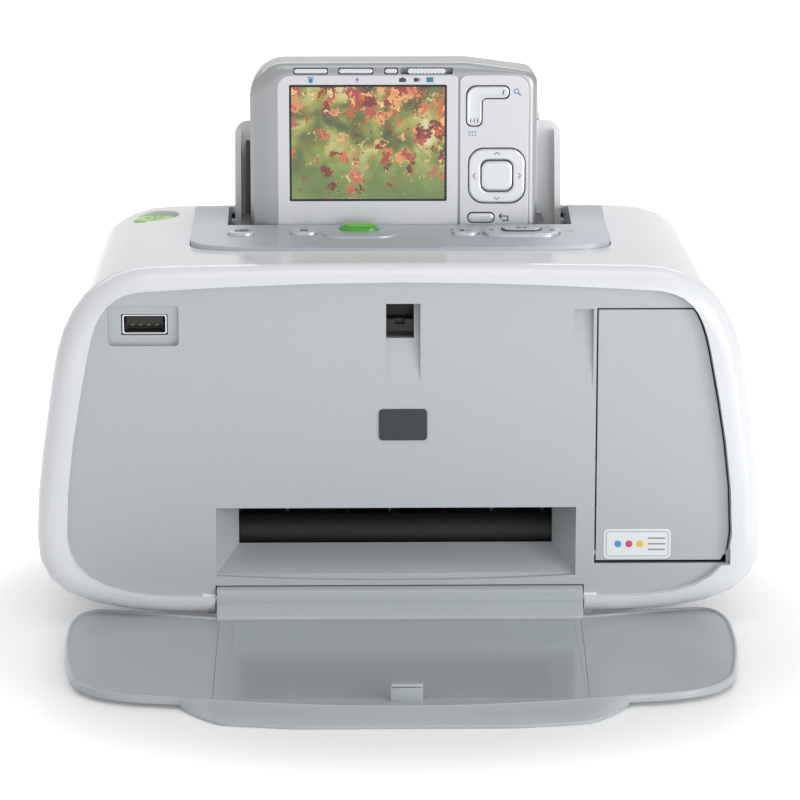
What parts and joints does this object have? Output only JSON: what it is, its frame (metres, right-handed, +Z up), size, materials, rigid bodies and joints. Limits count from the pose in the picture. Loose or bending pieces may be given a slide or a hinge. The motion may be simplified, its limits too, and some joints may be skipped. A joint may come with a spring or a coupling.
{
  "type": "compact photo printer",
  "caption": "Compact photo printer with a camera dock on top, a hinged ink door and a fold-down output tray that closes over its front.",
  "frame": {"origin": "centre of the bounding box footprint, on the table plane under the feet and the tray lip", "axes": "+X to the right as seen from the front, +Y to the back of the printer, +Z up; the output tray points along -Y"},
  "size_m": [0.2248, 0.218, 0.169],
  "materials": {
    "case_white": "polished white ABS",
    "panel_silver": "fine satin silver paint on ABS",
    "console_silver": "satin silver-blue paint on ABS",
    "tray_silver": "smooth silver grey ABS",
    "tray_smoke": "smoke tinted acrylic",
    "dark_plastic": "moulded dark grey ABS",
    "black_plastic": "moulded black ABS",
    "badge_slate": "bare slate lacquered plate",
    "socket_steel": "nickel plated sheet steel",
    "foot_rubber": "soft moulded rubber",
    "screw_steel": "zinc plated steel",
    "frame_steel": "galvanised sheet steel",
    "shaft_steel": "ground steel",
    "motor_steel": "plated drawn steel",
    "board_green": "solder masked glass epoxy board",
    "belt_rubber": "fibre reinforced rubber",
    "led_clear": "diffusing clear polycarbonate",
    "label_film": "bare printed film",
    "feeder_white": "polished white ABS",
    "button_lime": "lime moulded ABS",
    "button_green": "green moulded ABS",
    "button_silver": "satin silver painted ABS",
    "cartridge_blue": "moulded polypropylene ink tank",
    "pulley_plastic": "glass filled nylon",
    "gear_plastic": "natural acetal",
    "pinion_brass": "cut brass",
    "roller_rubber": "ground rubber on a steel shaft",
    "wheel_steel": "etched stainless steel",
    "camera_grey": "satin grey painted shell",
    "camera_silver": "bright silver paint",
    "camera_button": "metallised ABS",
    "screen_gloss": "hard coated display window",
    "lens_black": "anodised ring round a closed lens cover"
  },
  "bodies": {
    "case": {"upper_case": "case_white", "lower_case": "case_white", "front_panel": "panel_silver", "rear_panel": "panel_silver", "console": "console_silver", "dock_cradle": "dark_plastic", "dock_connector": "black_plastic", "front_usb_socket": "socket_steel", "badge_plate": "badge_slate", "rear_usb_socket": "socket_steel", "power_socket": "black_plastic", "rubber_feet": "foot_rubber", "case_screws": "screw_steel", "chassis": "frame_steel", "platen": "black_plastic", "star_wheel_bar": "black_plastic", "carriage_rod": "shaft_steel", "service_station": "dark_plastic", "main_board": "board_green", "carriage_motor": "motor_steel", "feed_motor": "motor_steel", "drive_belt": "belt_rubber", "status_led": "led_clear", "latch_catch": "black_plastic"},
    "output_tray": {"output_tray": "tray_silver", "tray_centre_panel": "tray_smoke", "tray_hinge_pins": "shaft_steel"},
    "ink_door": {"ink_door": "panel_silver", "ink_label": "label_film"},
    "input_tray": {"input_tray": "feeder_white"},
    "paper_guide": {"paper_guide": "dark_plastic"},
    "power_button": {"power_button": "button_lime"},
    "print_button": {"print_button": "button_green"},
    "photo_fix_button": {"photo_fix_button": "button_silver"},
    "cancel_button": {"cancel_button": "button_silver"},
    "back_button": {"back_button": "button_silver"},
    "nav_rocker": {"nav_rocker": "button_silver"},
    "carriage": {"carriage": "dark_plastic", "ink_cartridge": "cartridge_blue"},
    "motor_pulley": {"motor_pulley": "pulley_plastic"},
    "idler_pulley": {"idler_pulley": "pulley_plastic"},
    "feed_roller": {"feed_roller": "roller_rubber", "feed_gear": "gear_plastic"},
    "feed_pinion": {"feed_pinion": "pinion_brass"},
    "idler_gear": {"idler_gear": "gear_plastic"},
    "output_roller": {"output_roller": "roller_rubber"},
    "star_wheels": {"star_wheels": "wheel_steel"},
    "pickup_roller": {"pickup_roller": "roller_rubber"},
    "camera": {"camera_front": "camera_grey", "camera_back": "camera_silver", "camera_screen": "screen_gloss", "camera_lens": "lens_black"},
    "mode_slider": {"mode_slider": "camera_button"},
    "zoom_rocker": {"zoom_rocker": "camera_button"},
    "nav_pad": {"nav_pad": "camera_button"},
    "ok_button": {"ok_button": "camera_button"},
    "menu_button": {"menu_button": "camera_button"},
    "delete_button": {"delete_button": "camera_button"},
    "flash_button": {"flash_button": "camera_button"},
    "shutter_button": {"shutter_button": "camera_button"}
  },
  "joints": [
    {"name": "tray_hinge", "type": "hinge", "parent": "case", "child": "output_tray", "pos_m": [0, 0.001, 0.008], "axis": [1, 0, 0], "range_deg": [-90, 0]},
    {"name": "ink_door_hinge", "type": "hinge", "parent": "case", "child": "ink_door", "pos_m": [0.08, 0.0014, 0.0224], "axis": [1, 0, 0], "range_deg": [0, 85]},
    {"name": "input_tray_fold", "type": "hinge", "parent": "case", "child": "input_tray", "pos_m": [0.0008, 0.091, 0.112], "axis": [1, 0, 0], "range_deg": [0, 10]},
    {"name": "paper_guide_slide", "type": "slide", "parent": "input_tray", "child": "paper_guide", "axis": [1, 0, 0], "range_m": [0, 0.015]},
    {"name": "power_button_press", "type": "slide", "parent": "case", "child": "power_button", "axis": [0, 0, -1], "range_m": [0, 0.0008], "stiffness_N_per_m": 300},
    {"name": "print_button_press", "type": "slide", "parent": "case", "child": "print_button", "axis": [0, 0, -1], "range_m": [0, 0.0008], "stiffness_N_per_m": 300},
    {"name": "photo_fix_button_press", "type": "slide", "parent": "case", "child": "photo_fix_button", "axis": [0, 0, -1], "range_m": [0, 0.0008], "stiffness_N_per_m": 300},
    {"name": "cancel_button_press", "type": "slide", "parent": "case", "child": "cancel_button", "axis": [0, 0, -1], "range_m": [0, 0.0008], "stiffness_N_per_m": 300},
    {"name": "back_button_press", "type": "slide", "parent": "case", "child": "back_button", "axis": [0, 0, -1], "range_m": [0, 0.0008], "stiffness_N_per_m": 300},
    {"name": "nav_rocker_tilt", "type": "hinge", "parent": "case", "child": "nav_rocker", "pos_m": [0.0392, 0.0406, 0.11503], "axis": [0, 1, 0], "range_deg": [-4, 4], "stiffness_Nm_per_rad": 0.3},
    {"name": "carriage_slide", "type": "slide", "parent": "case", "child": "carriage", "axis": [-1, 0, 0], "range_m": [0, 0.131]},
    {"name": "motor_pulley_spin", "type": "hinge", "parent": "case", "child": "motor_pulley", "pos_m": [0.09, 0.081, 0.074], "axis": [0, 0, 1], "range_deg": [-1510, 10]},
    {"name": "idler_pulley_spin", "type": "hinge", "parent": "case", "child": "idler_pulley", "pos_m": [-0.08, 0.081, 0.074], "axis": [0, 0, 1], "range_deg": [-1510, 10]},
    {"name": "feed_roller_spin", "type": "hinge", "parent": "case", "child": "feed_roller", "pos_m": [0, 0.057, 0.026], "axis": [1, 0, 0], "continuous": true},
    {"name": "feed_pinion_spin", "type": "hinge", "parent": "case", "child": "feed_pinion", "pos_m": [0, 0.07363, 0.0356], "axis": [1, 0, 0], "continuous": true},
    {"name": "idler_gear_spin", "type": "hinge", "parent": "case", "child": "idler_gear", "pos_m": [0, 0.0354, 0.026], "axis": [1, 0, 0], "continuous": true},
    {"name": "output_roller_spin", "type": "hinge", "parent": "case", "child": "output_roller", "pos_m": [0, 0.0186, 0.026], "axis": [1, 0, 0], "continuous": true},
    {"name": "star_wheels_spin", "type": "hinge", "parent": "case", "child": "star_wheels", "pos_m": [0, 0.0186, 0.0343], "axis": [1, 0, 0], "continuous": true},
    {"name": "pickup_roller_spin", "type": "hinge", "parent": "case", "child": "pickup_roller", "pos_m": [0, 0.091, 0.062], "axis": [1, 0, 0], "continuous": true},
    {"name": "camera_lift", "type": "slide", "parent": "case", "child": "camera", "axis": [0, 0, 1], "range_m": [0, 0.06]},
    {"name": "mode_slider_shift", "type": "slide", "parent": "camera", "child": "mode_slider", "axis": [1, 0, 0], "range_m": [-0.002, 0.002]},
    {"name": "zoom_rocker_press", "type": "slide", "parent": "camera", "child": "zoom_rocker", "axis": [0, 1, 0], "range_m": [0, 0.0004], "stiffness_N_per_m": 300},
    {"name": "nav_pad_press", "type": "slide", "parent": "camera", "child": "nav_pad", "axis": [0, 1, 0], "range_m": [0, 0.0004], "stiffness_N_per_m": 300},
    {"name": "ok_button_press", "type": "slide", "parent": "camera", "child": "ok_button", "axis": [0, 1, 0], "range_m": [0, 0.0004], "stiffness_N_per_m": 300},
    {"name": "menu_button_press", "type": "slide", "parent": "camera", "child": "menu_button", "axis": [0, 1, 0], "range_m": [0, 0.0004], "stiffness_N_per_m": 300},
    {"name": "delete_button_press", "type": "slide", "parent": "camera", "child": "delete_button", "axis": [0, 1, 0], "range_m": [0, 0.0004], "stiffness_N_per_m": 300},
    {"name": "flash_button_press", "type": "slide", "parent": "camera", "child": "flash_button", "axis": [0, 1, 0], "range_m": [0, 0.0004], "stiffness_N_per_m": 300},
    {"name": "shutter_button_press", "type": "slide", "parent": "camera", "child": "shutter_button", "axis": [0, 1, 0], "range_m": [0, 0.0004], "stiffness_N_per_m": 300}
  ],
  "couplings": [
    {"joint": "motor_pulley_spin", "follows": "carriage_slide", "rad_per_m": -200},
    {"joint": "idler_pulley_spin", "follows": "carriage_slide", "rad_per_m": -200},
    {"joint": "idler_gear_spin", "follows": "feed_roller_spin", "ratio": -2},
    {"joint": "output_roller_spin", "follows": "feed_roller_spin", "ratio": 1.5},
    {"joint": "feed_pinion_spin", "follows": "feed_roller_spin", "ratio": -3},
    {"joint": "star_wheels_spin", "follows": "feed_roller_spin", "ratio": -2.5},
    {"joint": "pickup_roller_spin", "follows": "feed_roller_spin", "ratio": 0.75}
  ]
}
